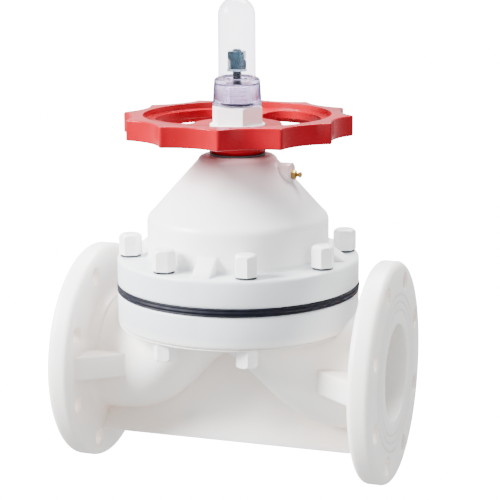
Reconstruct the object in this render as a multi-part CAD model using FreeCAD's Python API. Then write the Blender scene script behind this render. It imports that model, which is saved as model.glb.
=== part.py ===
# Flanged plastic diaphragm valve of the weir type, nominal bore 100 mm, with a rising stem.
# Row frame: origin at the centre of the inlet flange's face, +X along the pipe, +Z up the stem.
# Every piece is drawn about the stem, with the pipe's axis at height zero, and moved at the end.
import FreeCAD, Part
import math
import os

V = FreeCAD.Vector

# Pipe ends
FACE_TO_FACE = 340.0
PORT_BORE = 100.0
FLANGE_OD = 229.0
FLANGE_THICKNESS = 24.0
FLANGE_BOLT_CIRCLE = 190.5
FLANGE_HOLE = 19.0
FLANGE_HOLES = 8
FLANGE_ROUND = 6.5
SEAL_GROOVES = 3
SEAL_GROOVE_WIDTH = 1.0
SEAL_GROOVE_DEPTH = 0.8
SEAL_GROOVE_PITCH = 8.0
SEAL_GROOVE_START = 14.0

# Body casting: wall, joint with the bonnet, weir and stand
BODY_WALL = 11.0
SEAT_HEIGHT = 78.4
JOINT_OD = 252.0
JOINT_EDGE = 14.0
BODY_JOINT_THICKNESS = 32.6
BOWL_RIM = 10.5
WEIR_HEIGHT = 28.0
WEIR_CREST = 16.0
WEB_THICKNESS = 18.0
FOOT_WIDTH = 64.0
FOOT_DEPTH = 80.0
FOOT_LIP = 1.5
FOOT_HOLE_SPACING = 100.0
GUSSET_THICKNESS = 24.0
GUSSET_DROP = 9.0
GUSSET_REACH = 46.0
GUSSET_SPREAD = 98.0

# Diaphragm
DIAPHRAGM_RIM = 8.3
DIAPHRAGM_THICKNESS = 8.0
DIAPHRAGM_PROUD = 0.8
COMPRESSOR_SHARE = 2.0 / 3.0
REST_LIFT = 13.4
FULL_LIFT = 45.0

# Bonnet
BONNET_JOINT_THICKNESS = 28.0
BONNET_WALL = 11.0
DOME_EDGE = 31.5
DOME_WALL_HEIGHT = 36.0
DOME_SHOULDER = 9.0
NECK_OD = 83.0
NECK_HEIGHT = 219.6
NECK_ROUND = 5.5
RIB_THICKNESS = 19.0
RIB_HEIGHT = 16.0
RIB_EDGE = 8.0
BOSS_DIAMETER = 24.0
BOSS_REACH = 59.0
BOSS_DROP = 18.5
GUIDE_RIB = 8.0
GUIDE_CLEARANCE = 0.4

# Joint bolting
JOINT_BOLTS = 8
BOLT_DIAMETER = 10.0
BOLT_HOLE = 11.0
BOLT_FLATS = 17.0
HEAD_HEIGHT = 6.6
NUT_HEIGHT = 8.4
WASHER_OD = 21.0
WASHER_THICKNESS = 2.2
BOLT_END = 4.6
CAP_FLATS = 20.8
TOP_CAP_HEIGHT = 21.8
BOTTOM_CAP_HEIGHT = 19.0
INSERT_OD = 16.0
INSERT_LENGTH = 28.0
FOOT_INSERT_OD = 16.0
FOOT_INSERT_LENGTH = 18.0
FOOT_THREAD_BORE = 10.2

# Stem, sleeve and its bearing in the neck
STEM_DIAMETER = 24.0
STEM_BELOW_SLEEVE_TOP = 4.6
JOURNAL_DIAMETER = 40.0
SLEEVE_FLANGE_OD = 55.6
SLEEVE_FLANGE = 8.5
THRUST_RING = 4.0
THRUST_WASHER = 2.0
THRUST_WASHER_OD = 58.0
BEARING_SHOULDER = 23.6
DRIVE_DIAMETER = 35.0
DRIVE_FLATS = 31.0
THREAD_DIAMETER = 30.0
SLEEVE_END = 21.6
RING_SECTION = 2.4

# Handwheel
HUB_LENGTH = 28.1
WEB_RISE = 6.0
RIM_RISE = 11.9
RIM_HEIGHT = 21.2
RIM_TIP_RADIUS = 120.8
RIM_VALLEY_RADIUS = 108.5
RIM_LOBES = 12
RIM_TIP_ROUND = 3.0
RIM_EDGE_ROUND = 1.6
RIM_WALL = 9.0
LOBE_SKIN = 4.0
RIM_TURN = 9.35
WELL_EDGE = 11.0
WHEEL_WEB = 8.0
WHEEL_BOSS_OD = 61.0
WINDOWS = 3
WINDOW_INNER = 46.0
WINDOW_OUTER = 88.0
WINDOW_SPAN = 88.0

# Locking nut and clear travel indicator cover
HUB_NUT_CORNERS = 54.0
HUB_NUT_HEIGHT = 21.0
HUB_NUT_FOOT = 3.0
HUB_NUT_FOOT_OD = 57.0
COLLAR_LOWER_OD = 50.8
COLLAR_UPPER_OD = 47.6
COLLAR_END = 3.0
COVER_OD = 38.4
COVER_WALL = 2.4
COVER_RISE = 89.9

# Travel stop on top of the stem
STOP_STUD_DIAMETER = 10.0
STOP_STUD_RISE = 36.2
STOP_STUD_DEPTH = 20.0
STOP_WASHER_OD = 20.6
STOP_WASHER_THICKNESS = 2.4
STOP_NUT_HEIGHT = 9.0
STOP_NUT_FLATS = 17.0

# Fits: radial clearances, and gaps between faces that slide
RUNNING = 0.05
SEATED = 0.1
SOFT = 0.3

# Sizes and heights worked out from the ones above
JOINT_BOLT_CIRCLE = JOINT_OD - 2 * JOINT_EDGE
DOME_OD = JOINT_OD - 2 * DOME_EDGE
BOWL_OPENING = DOME_OD - 2 * BOWL_RIM
COMPRESSOR_OD = BOWL_OPENING * COMPRESSOR_SHARE
RIB_REACH = JOINT_OD / 2 - RIB_EDGE
WELL_RADIUS = RIM_VALLEY_RADIUS - WELL_EDGE
BODY_JOINT_BOTTOM = SEAT_HEIGHT - BODY_JOINT_THICKNESS
BONNET_SEAT = SEAT_HEIGHT + DIAPHRAGM_RIM
BONNET_JOINT_TOP = BONNET_SEAT + BONNET_JOINT_THICKNESS
BOWL_RADIUS = BOWL_OPENING / 2
BOWL_DEPTH = SEAT_HEIGHT - WEIR_HEIGHT
BOWL_SPHERE = (BOWL_RADIUS ** 2 + BOWL_DEPTH ** 2) / (2 * BOWL_DEPTH)
PIPE_RADIUS = PORT_BORE / 2 + BODY_WALL
HALF_LENGTH = FACE_TO_FACE / 2
FLANGE_BACK = HALF_LENGTH - FLANGE_THICKNESS
COMPRESSOR_RADIUS = COMPRESSOR_OD / 2
SHOULDER_HEIGHT = NECK_HEIGHT - BEARING_SHOULDER
THRUST_TOP = NECK_HEIGHT + THRUST_WASHER
WHEEL_SEAT = THRUST_TOP + SOFT
WEB_TOP_INNER = WHEEL_SEAT + HUB_LENGTH
WEB_TOP_OUTER = WEB_TOP_INNER + WEB_RISE
WHEEL_TOP = WEB_TOP_INNER + RIM_RISE
RIM_BOTTOM = WHEEL_TOP - RIM_HEIGHT
HUB_NUT_TOP = WEB_TOP_INNER + HUB_NUT_HEIGHT
SLEEVE_TOP = HUB_NUT_TOP + SLEEVE_END
COLLAR_TOP = SLEEVE_TOP + COLLAR_END
COVER_TOP = SLEEVE_TOP + COVER_RISE
STOP_STUD_TOP = SLEEVE_TOP + STOP_STUD_RISE
STEM_TOP = SLEEVE_TOP - STEM_BELOW_SLEEVE_TOP
STOP_WASHER_BOTTOM = SLEEVE_TOP + REST_LIFT + SOFT
WINDOW_TURN = RIM_TURN + 360.0 / RIM_LOBES
OPENING_TRAVEL = FULL_LIFT - REST_LIFT


def wire(start, steps):
    """Closed outline in the XZ plane. A step is a point, or (via, end) for an arc."""
    edges = []
    here = V(start[0], 0, start[1])
    first = here
    for step in list(steps) + [start]:
        if isinstance(step[0], tuple):
            via = V(step[0][0], 0, step[0][1])
            there = V(step[1][0], 0, step[1][1])
            edges.append(Part.Arc(here, via, there).toShape())
        else:
            there = V(step[0], 0, step[1])
            if there.distanceToPoint(here) > 1e-6:
                edges.append(Part.LineSegment(here, there).toShape())
        here = there
    assert here.distanceToPoint(first) < 1e-6
    return Part.Wire(edges)


def turned(start, *steps):
    """Solid of revolution about the stem from an outline of radius and height."""
    return Part.Face(wire(start, steps)).revolve(V(0, 0, 0), V(0, 0, 1), 360)


def corner(centre, radius, from_angle, to_angle):
    """Arc step round a centre, in degrees in the outline's own plane."""
    def at(angle):
        turn = math.radians(angle)
        return (centre[0] + radius * math.cos(turn), centre[1] + radius * math.sin(turn))
    return (at((from_angle + to_angle) / 2), at(to_angle))


def disc(radius, low, high, edge):
    """Plate turned about the stem with both rims rounded."""
    return turned((0, low), (radius - edge, low),
                  corner((radius - edge, low + edge), edge, -90, 0),
                  (radius, high - edge),
                  corner((radius - edge, high - edge), edge, 0, 90), (0, high))


def cylinder(radius, low, high, x=0.0, y=0.0):
    return Part.makeCylinder(radius, high - low, V(x, y, low))


def tube(outer, inner, low, high):
    return cylinder(outer, low, high).cut(cylinder(inner, low, high))


def along_pipe(shape):
    """Turn a shape drawn up the stem so that it points along the pipe."""
    turned_shape = shape.copy()
    turned_shape.rotate(V(0, 0, 0), V(0, 1, 0), 90)
    return turned_shape


def mirrored(shape):
    return shape.mirror(V(0, 0, 0), V(1, 0, 0))


def around(shape, count, first=0.0):
    """Copies of a shape at equal turns about the stem."""
    copies = []
    for index in range(count):
        copy = shape.copy()
        copy.rotate(V(0, 0, 0), V(0, 0, 1), first + 360.0 / count * index)
        copies.append(copy)
    return copies


def hexagon(flats, low, high):
    """Hexagonal prism with two corners on the X axis."""
    corners = [V(flats / math.sqrt(3) * math.cos(math.radians(60 * i)),
                 flats / math.sqrt(3) * math.sin(math.radians(60 * i)), low) for i in range(7)]
    return Part.Face(Part.makePolygon(corners)).extrude(V(0, 0, high - low))


def chamfered_hexagon(flats, low, high, both=True):
    """Hexagonal prism with its corners turned down, as on a nut."""
    corner_radius = flats / math.sqrt(3)
    drop = (corner_radius - flats / 2) * 0.6
    foot = flats / 2 if both else corner_radius
    foot_drop = drop if both else 0.0
    envelope = turned((0, low), (foot, low), (corner_radius, low + foot_drop),
                      (corner_radius, high - drop), (flats / 2, high), (0, high))
    return hexagon(flats, low, high).common(envelope)


def bowl(radius):
    """Height of the weir bowl's surface at a radius from the stem."""
    return WEIR_HEIGHT + BOWL_SPHERE - math.sqrt(BOWL_SPHERE ** 2 - radius ** 2)


# The passage from the port to the weir's crest, as an oval that widens and climbs. Each row
# has shares of the way along, and of the whole change in half width, height of the widest
# line, floor and roof. The outside of each elbow is the same form, a wall thicker.
PORT = PORT_BORE / 2
CREST_REACH = WEIR_CREST / 2
PORT_INSET = 4.0
MOUTH_RIM = 9.0
PASSAGE_SHARES = [
    (0.0, 0.0, 0.0, 0.0, 0.0),
    (0.21, 0.0, 0.0, 0.0, 0.0),
    (0.42, 0.28, 0.12, 0.07, 0.33),
    (0.63, 0.64, 0.39, 0.28, 0.59),
    (0.84, 1.0, 0.75, 0.66, 0.72),
    (1.0, 1.0, 1.0, 1.0, 1.0),
]
ELBOW_POINTS = 20


def passage_station(along, widen, lift, floor_rise, roof_rise):
    """Distance from the stem, half width, widest line, floor and roof of one oval."""
    begin = FLANGE_BACK + PORT_INSET
    return (begin + (CREST_REACH - begin) * along,
            PORT + (BOWL_RADIUS - MOUTH_RIM - PORT) * widen,
            (SEAT_HEIGHT - MOUTH_RIM - 3) * lift,
            -PORT + (WEIR_HEIGHT + 3 + PORT) * floor_rise,
            PORT + (SEAT_HEIGHT + 2 - PORT) * roof_rise)


PASSAGE = [passage_station(*shares) for shares in PASSAGE_SHARES]


def section(x, half_width, middle, floor, roof):
    """Closed oval across the pipe, with its own height above and below its widest line."""
    points = []
    for index in range(ELBOW_POINTS):
        turn = 2 * math.pi * index / ELBOW_POINTS
        height = roof - middle if math.sin(turn) > 0 else middle - floor
        points.append(V(x, half_width * math.cos(turn), middle + height * math.sin(turn)))
    curve = Part.BSplineCurve()
    curve.interpolate(Points=points, PeriodicFlag=True)
    return Part.Wire(curve.toShape())


def elbow_inside():
    mouth = Part.Face(section(*PASSAGE[0])).extrude(V(HALF_LENGTH + 1 - PASSAGE[0][0], 0, 0))
    return Part.makeLoft([section(*station) for station in PASSAGE], True).fuse(mouth)


def elbow_outside():
    wires = []
    for x, half_width, middle, floor, roof in PASSAGE[:-1]:
        wires.append(section(x, half_width + BODY_WALL, middle, floor - BODY_WALL,
                             roof + BODY_WALL))
    x, half_width, middle, floor, roof = PASSAGE[-1]
    wires.append(section(0, half_width + BODY_WALL + 2, middle, floor - BODY_WALL - 8,
                         roof + BODY_WALL))
    return Part.makeLoft(wires, True)


def weir_bowl():
    """Bowl that the diaphragm is pressed into, open at the joint face."""
    return Part.makeSphere(BOWL_SPHERE, V(0, 0, WEIR_HEIGHT + BOWL_SPHERE))


def joint_bolt_turns(through):
    """Angles of the joint's bolts. Those beside the pipe can't pass through the body."""
    turns = [360.0 / JOINT_BOLTS * (index + 0.5) for index in range(JOINT_BOLTS)]
    return [turn for turn in turns if (abs(math.cos(math.radians(turn))) < 0.7) == through]


def at_joint_bolt(shape, turn):
    """Copy of a fastener drawn about the stem, moved to its place on the joint."""
    copy = shape.copy()
    copy.translate(V(JOINT_BOLT_CIRCLE / 2, 0, 0))
    copy.rotate(V(0, 0, 0), V(0, 0, 1), turn)
    return copy


def at_joint_bolts(shape, through=None):
    if through is None:
        turns = joint_bolt_turns(True) + joint_bolt_turns(False)
    else:
        turns = joint_bolt_turns(through)
    return Part.makeCompound([at_joint_bolt(shape, turn) for turn in turns])


def cut_all(shape, tools):
    return shape.cut(Part.makeCompound(list(tools))) if tools else shape


def stand():
    """Web between the elbows, flared to the foot that carries the tapped inserts."""
    half_web = WEB_THICKNESS / 2
    half_foot = FOOT_WIDTH / 2
    flare = half_foot - half_web
    lip = -FOOT_DEPTH + FOOT_LIP
    right = wire((0, -FOOT_DEPTH), [
        (half_foot, -FOOT_DEPTH), (half_foot, lip),
        corner((half_foot, lip + flare), flare, 270, 180),
        (half_web, WEIR_HEIGHT / 2), (0, WEIR_HEIGHT / 2)])
    face = Part.Face(right)
    face.rotate(V(0, 0, 0), V(0, 0, 1), 90)
    half = face.extrude(V(2 * FLANGE_BACK, 0, 0))
    half.translate(V(-FLANGE_BACK, 0, 0))
    return half.fuse(half.mirror(V(0, 0, 0), V(0, 1, 0)))


def pipe_gusset():
    """Triangle at the pipe's height that braces an end flange from behind."""
    root = PIPE_RADIUS - BODY_WALL
    low = -GUSSET_DROP
    points = [V(FLANGE_BACK + 1, root, 0), V(FLANGE_BACK - GUSSET_REACH, root, 0),
              V(FLANGE_BACK - GUSSET_REACH, PIPE_RADIUS, 0),
              V(FLANGE_BACK + 1, GUSSET_SPREAD, 0), V(FLANGE_BACK + 1, root, 0)]
    face = Part.Face(Part.makePolygon(points))
    face.translate(V(0, 0, low))
    return face.extrude(V(0, 0, GUSSET_THICKNESS))


def flange_root():
    """Hollow fillet between a pipe end and the back of its flange."""
    fillet = 9.0
    start = PIPE_RADIUS - 1
    outer = start + fillet
    ring = turned((start - 2, FLANGE_BACK - fillet), (start, FLANGE_BACK - fillet),
                  corner((outer, FLANGE_BACK - fillet), fillet, 180, 90),
                  (outer, FLANGE_BACK + 1), (start - 2, FLANGE_BACK + 1))
    return along_pipe(ring)


def seal_grooves():
    """Shallow rings in the flange's face that bite into the gasket."""
    grooves = []
    for index in range(SEAL_GROOVES):
        radius = PORT + SEAL_GROOVE_START + SEAL_GROOVE_PITCH * index
        grooves.append(along_pipe(tube(radius + SEAL_GROOVE_WIDTH, radius,
                                       HALF_LENGTH - SEAL_GROOVE_DEPTH, HALF_LENGTH + 1)))
    return grooves


def make_body():
    reach = FACE_TO_FACE
    above = Part.makeBox(2 * reach, 2 * reach, reach, V(-reach, -reach, SEAT_HEIGHT))
    half = elbow_outside().cut(above)
    half = half.fuse([along_pipe(disc(FLANGE_OD / 2, FLANGE_BACK, HALF_LENGTH, FLANGE_ROUND)),
                      pipe_gusset(), pipe_gusset().mirror(V(0, 0, 0), V(0, 1, 0)),
                      flange_root()])
    shape = half.fuse([mirrored(half), stand(),
                       disc(JOINT_OD / 2, BODY_JOINT_BOTTOM, SEAT_HEIGHT, 2.5)])
    passage = elbow_inside()
    flange_hole = cylinder(FLANGE_HOLE / 2, FLANGE_BACK - FLANGE_HOLE, HALF_LENGTH + 1,
                           FLANGE_BOLT_CIRCLE / 2)
    holes = [along_pipe(hole) for hole in around(flange_hole, FLANGE_HOLES, 180 / FLANGE_HOLES)]
    tools = [passage] + holes + seal_grooves()
    tools += [mirrored(tool) for tool in tools]
    tools.append(weir_bowl())
    through = cylinder(BOLT_HOLE / 2, BODY_JOINT_BOTTOM - 1, SEAT_HEIGHT + 1)
    pocket = cylinder(INSERT_OD / 2, SEAT_HEIGHT - INSERT_LENGTH, SEAT_HEIGHT + 1)
    tools += [at_joint_bolt(through, turn) for turn in joint_bolt_turns(True)]
    tools += [at_joint_bolt(pocket, turn) for turn in joint_bolt_turns(False)]
    for side in (-1, 1):
        tools.append(cylinder(FOOT_INSERT_OD / 2, -FOOT_DEPTH - 1,
                              -FOOT_DEPTH + FOOT_INSERT_LENGTH,
                              side * FOOT_HOLE_SPACING / 2))
    for tool in tools:
        shape = shape.cut(tool)
    return shape


def make_foot_inserts():
    insert = tube(FOOT_INSERT_OD / 2, FOOT_THREAD_BORE / 2, -FOOT_DEPTH,
                  -FOOT_DEPTH + FOOT_INSERT_LENGTH)
    copies = []
    for side in (-1, 1):
        copy = insert.copy()
        copy.translate(V(side * FOOT_HOLE_SPACING / 2, 0, 0))
        copies.append(copy)
    return Part.makeCompound(copies)


def diaphragm_under(radius):
    """Underside of the diaphragm's middle: the weir bowl's form, lifted as at rest."""
    return bowl(radius) + REST_LIFT


def spline(points):
    curve = Part.BSplineCurve()
    curve.interpolate(Points=[V(radius, 0, height) for radius, height in points])
    return curve.toShape()


def make_diaphragm():
    middle = [0.0, COMPRESSOR_RADIUS / 2, COMPRESSOR_RADIUS]
    span = BOWL_RADIUS - COMPRESSOR_RADIUS
    low = [(radius, diaphragm_under(radius)) for radius in middle]
    low.append((COMPRESSOR_RADIUS + span * 0.62, SEAT_HEIGHT - 6))
    low.append((BOWL_RADIUS - 2, SEAT_HEIGHT))
    high = [(radius, diaphragm_under(radius) + DIAPHRAGM_THICKNESS) for radius in middle]
    high.append((COMPRESSOR_RADIUS + span * 0.42, BONNET_SEAT - 8))
    high.append((BOWL_RADIUS - 6, BONNET_SEAT))
    rim = JOINT_OD / 2 + DIAPHRAGM_PROUD
    bulge = DIAPHRAGM_RIM / 2
    edges = [spline(low),
             Part.LineSegment(V(low[-1][0], 0, SEAT_HEIGHT), V(rim - 1, 0, SEAT_HEIGHT)).toShape(),
             Part.Arc(V(rim - 1, 0, SEAT_HEIGHT), V(rim, 0, SEAT_HEIGHT + bulge),
                      V(rim - 1, 0, BONNET_SEAT)).toShape(),
             Part.LineSegment(V(rim - 1, 0, BONNET_SEAT), V(high[-1][0], 0, BONNET_SEAT)).toShape(),
             spline(high),
             Part.LineSegment(V(0, 0, high[0][1]), V(0, 0, low[0][1])).toShape()]
    face = Part.Face(Part.Wire(Part.__sortEdges__(edges)))
    shape = face.revolve(V(0, 0, 0), V(0, 0, 1), 360)
    for turn in joint_bolt_turns(True) + joint_bolt_turns(False):
        shape = shape.cut(at_joint_bolt(cylinder(BOLT_HOLE / 2, SEAT_HEIGHT - 1,
                                                 BONNET_SEAT + 1), turn))
    stud_room = cylinder(STUD_RADIUS + SEATED, diaphragm_under(0) + 3,
                         diaphragm_under(0) + DIAPHRAGM_THICKNESS + 1)
    head_room = cylinder(STUD_HEAD_RADIUS + SEATED, diaphragm_under(0) + 3,
                         diaphragm_under(0) + 3 + STUD_HEAD + SEATED)
    return shape.cut(stud_room).cut(head_room)


# Stud moulded into the middle of the diaphragm, and the compressor that it screws into
STUD_RADIUS = 5.0
STUD_HEAD_RADIUS = 11.0
STUD_HEAD = 3.0
STUD_LENGTH = 16.0
COMPRESSOR_EDGE = 9.0
COMPRESSOR_HUB_OD = 42.0
COMPRESSOR_HUB_HEIGHT = 46.0
FIN_THICKNESS = 12.0
FIN_WIDTH = 12.0
FIN_HEIGHT = 84.0
PIN_DIAMETER = 6.0
PIN_HEIGHT = 36.0
COMPRESSOR_FOOT = WEIR_HEIGHT + REST_LIFT + DIAPHRAGM_THICKNESS
STEM_FOOT = COMPRESSOR_FOOT + STUD_LENGTH + 2


def make_diaphragm_stud():
    low = diaphragm_under(0) + 3
    head = cylinder(STUD_HEAD_RADIUS, low, low + STUD_HEAD)
    return head.fuse(cylinder(STUD_RADIUS, low, COMPRESSOR_FOOT + STUD_LENGTH))


def compressor_under(radius):
    """Underside of the compressor, which rests on the diaphragm's back."""
    return diaphragm_under(radius) + DIAPHRAGM_THICKNESS + SOFT


def make_compressor():
    """Plate that presses the diaphragm, with a hub for the stem and two tall guide fins."""
    radii = [0.0, COMPRESSOR_RADIUS / 2, COMPRESSOR_RADIUS]
    under = [(radius, compressor_under(radius)) for radius in radii]
    edge_top = under[-1][1] + COMPRESSOR_EDGE
    hub = COMPRESSOR_HUB_OD / 2
    hub_top = COMPRESSOR_FOOT + COMPRESSOR_HUB_HEIGHT
    points = [(COMPRESSOR_RADIUS, edge_top), (hub + 4, edge_top), (hub, edge_top + 4),
              (hub, hub_top), (0, hub_top), (0, under[0][1])]
    edges = [spline(under)]
    here = under[-1]
    for point in points:
        edges.append(Part.LineSegment(V(here[0], 0, here[1]), V(point[0], 0, point[1])).toShape())
        here = point
    shape = Part.Face(Part.Wire(edges)).revolve(V(0, 0, 0), V(0, 0, 1), 360)
    fin_foot = edge_top - 2
    fin_top = COMPRESSOR_FOOT + FIN_HEIGHT
    outline = [V(0, 0, fin_foot), V(0, COMPRESSOR_RADIUS, fin_foot),
               V(0, COMPRESSOR_RADIUS, fin_top), V(0, COMPRESSOR_RADIUS - FIN_WIDTH, fin_top),
               V(0, hub - 1, hub_top), V(0, 0, hub_top), V(0, 0, fin_foot)]
    fin = Part.Face(Part.makePolygon(outline)).extrude(V(FIN_THICKNESS, 0, 0))
    fin.translate(V(-FIN_THICKNESS / 2, 0, 0))
    fin = fin.fuse(fin.mirror(V(0, 0, 0), V(0, 1, 0)))
    brace = Part.makeBox(2 * COMPRESSOR_RADIUS - 16, FIN_THICKNESS, 12,
                         V(8 - COMPRESSOR_RADIUS, -FIN_THICKNESS / 2, fin_foot))
    shape = shape.fuse([fin, brace])
    shape = shape.cut(cylinder(STEM_DIAMETER / 2 + SEATED, STEM_FOOT, fin_top + 1))
    shape = shape.cut(cylinder(STUD_RADIUS + SEATED, 0, STEM_FOOT + 1))
    return shape.cut(cross_pin_hole())


def cross_pin_hole():
    hole = cylinder(PIN_DIAMETER / 2 + RUNNING, -COMPRESSOR_HUB_OD, COMPRESSOR_HUB_OD)
    hole = along_pipe(hole)
    hole.translate(V(0, 0, COMPRESSOR_FOOT + PIN_HEIGHT))
    return hole


def make_compressor_pin():
    pin = along_pipe(cylinder(PIN_DIAMETER / 2, -COMPRESSOR_HUB_OD / 2, COMPRESSOR_HUB_OD / 2))
    pin.translate(V(0, 0, COMPRESSOR_FOOT + PIN_HEIGHT))
    return pin


def cone_height(radius):
    """Outside of the dome's cone: from the shoulder up to the neck's rounded rim."""
    shoulder = (DOME_OD / 2 - DOME_SHOULDER / 2, BONNET_JOINT_TOP + DOME_WALL_HEIGHT + DOME_SHOULDER)
    neck = (NECK_OD / 2, NECK_HEIGHT - NECK_ROUND)
    share = (radius - shoulder[0]) / (neck[0] - shoulder[0])
    return shoulder[1] + share * (neck[1] - shoulder[1])


def bonnet_outside():
    dome = DOME_OD / 2
    wall_top = BONNET_JOINT_TOP + DOME_WALL_HEIGHT
    shoulder = (dome - DOME_SHOULDER / 2, wall_top + DOME_SHOULDER)
    bend = (dome - 1.0, wall_top + DOME_SHOULDER * 0.55)
    neck = NECK_OD / 2
    root = 4.0
    rim = 3.0
    joint = JOINT_OD / 2
    return turned(
        (0, BONNET_SEAT), (joint - 1.5, BONNET_SEAT),
        corner((joint - 1.5, BONNET_SEAT + 1.5), 1.5, -90, 0),
        (joint, BONNET_JOINT_TOP - rim),
        corner((joint - rim, BONNET_JOINT_TOP - rim), rim, 0, 90),
        (dome + root, BONNET_JOINT_TOP),
        corner((dome + root, BONNET_JOINT_TOP + root), root, 270, 180),
        (dome, wall_top), (bend, shoulder),
        (neck, NECK_HEIGHT - NECK_ROUND),
        ((neck - NECK_ROUND * 0.55, NECK_HEIGHT - NECK_ROUND * 0.25),
         (neck - NECK_ROUND * 1.4, NECK_HEIGHT)), (0, NECK_HEIGHT))


def bonnet_inside():
    """Hollow over the diaphragm, a wall in from the outside, with the bearing's pocket on top."""
    steep = BONNET_WALL * 1.48
    wall = DOME_OD / 2 - BONNET_WALL
    pocket = SLEEVE_FLANGE_OD / 2 + 0.5
    pocket_foot = SHOULDER_HEIGHT - THRUST_RING - SLEEVE_FLANGE - 1.5
    roof = cone_height(pocket + 6) - steep
    low_roof = cone_height(wall) - steep
    return turned((0, BONNET_SEAT - 1), (wall, BONNET_SEAT - 1), (wall, low_roof),
                  (pocket + 6, min(roof, pocket_foot)), (pocket, pocket_foot),
                  (pocket, SHOULDER_HEIGHT), (0, SHOULDER_HEIGHT))


def guide_ribs():
    """Pairs of ribs in the dome that the compressor's fins slide between."""
    inner = COMPRESSOR_RADIUS - FIN_WIDTH
    foot = compressor_under(COMPRESSOR_RADIUS) + COMPRESSOR_EDGE + OPENING_TRAVEL + 2
    ribs = []
    for side in (-1, 1):
        start = FIN_THICKNESS / 2 + GUIDE_CLEARANCE if side > 0 else \
            -FIN_THICKNESS / 2 - GUIDE_CLEARANCE - GUIDE_RIB
        for end in (-1, 1):
            y = inner if end > 0 else -inner - DOME_OD / 2
            ribs.append(Part.makeBox(GUIDE_RIB, DOME_OD / 2, NECK_HEIGHT, V(start, y, foot)))
    return ribs


def bonnet_gusset():
    """Triangular rib from the dome's wall down to the joint's rim."""
    root = DOME_OD / 2 - 4
    top = BONNET_JOINT_TOP + RIB_HEIGHT
    outline = [V(root, 0, BONNET_JOINT_TOP - 2), V(RIB_REACH, 0, BONNET_JOINT_TOP - 2),
               V(RIB_REACH, 0, BONNET_JOINT_TOP), V(DOME_OD / 2, 0, top), V(root, 0, top),
               V(root, 0, BONNET_JOINT_TOP - 2)]
    shape = Part.Face(Part.makePolygon(outline)).extrude(V(0, RIB_THICKNESS, 0))
    shape.translate(V(0, -RIB_THICKNESS / 2, 0))
    return shape


def make_bonnet():
    outside = bonnet_outside()
    boss = along_pipe(cylinder(BOSS_DIAMETER / 2, JOURNAL_DIAMETER / 2 + 4, BOSS_REACH))
    boss.translate(V(0, 0, NECK_HEIGHT - BOSS_DROP))
    hollow = bonnet_inside()
    for rib in guide_ribs():
        hollow = hollow.cut(rib)
    shape = outside.fuse([boss] + around(bonnet_gusset(), 4)).cut(hollow)
    shape = shape.cut(cylinder(JOURNAL_DIAMETER / 2 + RUNNING, SHOULDER_HEIGHT - 1,
                               NECK_HEIGHT + 1))
    groove = RING_SECTION / 2 + 0.3
    groove_middle = (SHOULDER_HEIGHT + NECK_HEIGHT) / 2 + 5
    shape = shape.cut(cylinder(JOURNAL_DIAMETER / 2 + RING_SECTION + 0.2,
                               groove_middle - groove, groove_middle + groove))
    channel = along_pipe(cylinder(NIPPLE_SHANK / 2 + SEATED, JOURNAL_DIAMETER / 2 - 1,
                                  BOSS_REACH + 1))
    channel.translate(V(0, 0, NECK_HEIGHT - BOSS_DROP))
    shape = shape.cut(channel)
    hole = cylinder(BOLT_HOLE / 2, BONNET_SEAT - 1, BONNET_JOINT_TOP + DOME_WALL_HEIGHT)
    for turn in joint_bolt_turns(True) + joint_bolt_turns(False):
        shape = shape.cut(at_joint_bolt(hole, turn))
    return shape


# Grease nipple on the neck's boss
NIPPLE_SHANK = 6.0
NIPPLE_FLATS = 9.0
NIPPLE_REACH = 10.5
NIPPLE_DEPTH = 12.0


def make_grease_nipple():
    face = BOSS_REACH
    tip = face + NIPPLE_REACH
    shank = NIPPLE_SHANK / 2
    body = turned((0, face - NIPPLE_DEPTH), (shank, face - NIPPLE_DEPTH), (shank, face),
                  (NIPPLE_FLATS / 2 - 0.4, face), (NIPPLE_FLATS / 2 - 0.4, face + 4.2),
                  (2.0, face + 5.4), (2.0, tip - 4.0), (3.2, tip - 2.8), (3.2, tip - 1.4),
                  (1.6, tip), (0, tip))
    body = along_pipe(body.fuse(chamfered_hexagon(NIPPLE_FLATS, face, face + 4.0, both=False)))
    body.translate(V(0, 0, NECK_HEIGHT - BOSS_DROP))
    return body


def ring_seal(inside_radius, height, gap=RUNNING):
    section_radius = RING_SECTION / 2
    return Part.makeTorus(inside_radius + section_radius + gap, section_radius, V(0, 0, height))


def make_neck_ring():
    return ring_seal(JOURNAL_DIAMETER / 2, (SHOULDER_HEIGHT + NECK_HEIGHT) / 2 + 5)


def make_lower_thrust_ring():
    return tube(SLEEVE_FLANGE_OD / 2, JOURNAL_DIAMETER / 2 + SEATED,
                SHOULDER_HEIGHT - THRUST_RING, SHOULDER_HEIGHT)


def make_upper_thrust_washer():
    return tube(THRUST_WASHER_OD / 2, JOURNAL_DIAMETER / 2 + SEATED, NECK_HEIGHT, THRUST_TOP)


def drive_form(diameter, flats, low, high):
    """Round bar with two flats, which turns the sleeve with the wheel."""
    flat = Part.makeBox(flats, diameter + 2, high - low, V(-flats / 2, -diameter / 2 - 1, low))
    return cylinder(diameter / 2, low, high).common(flat)


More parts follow.
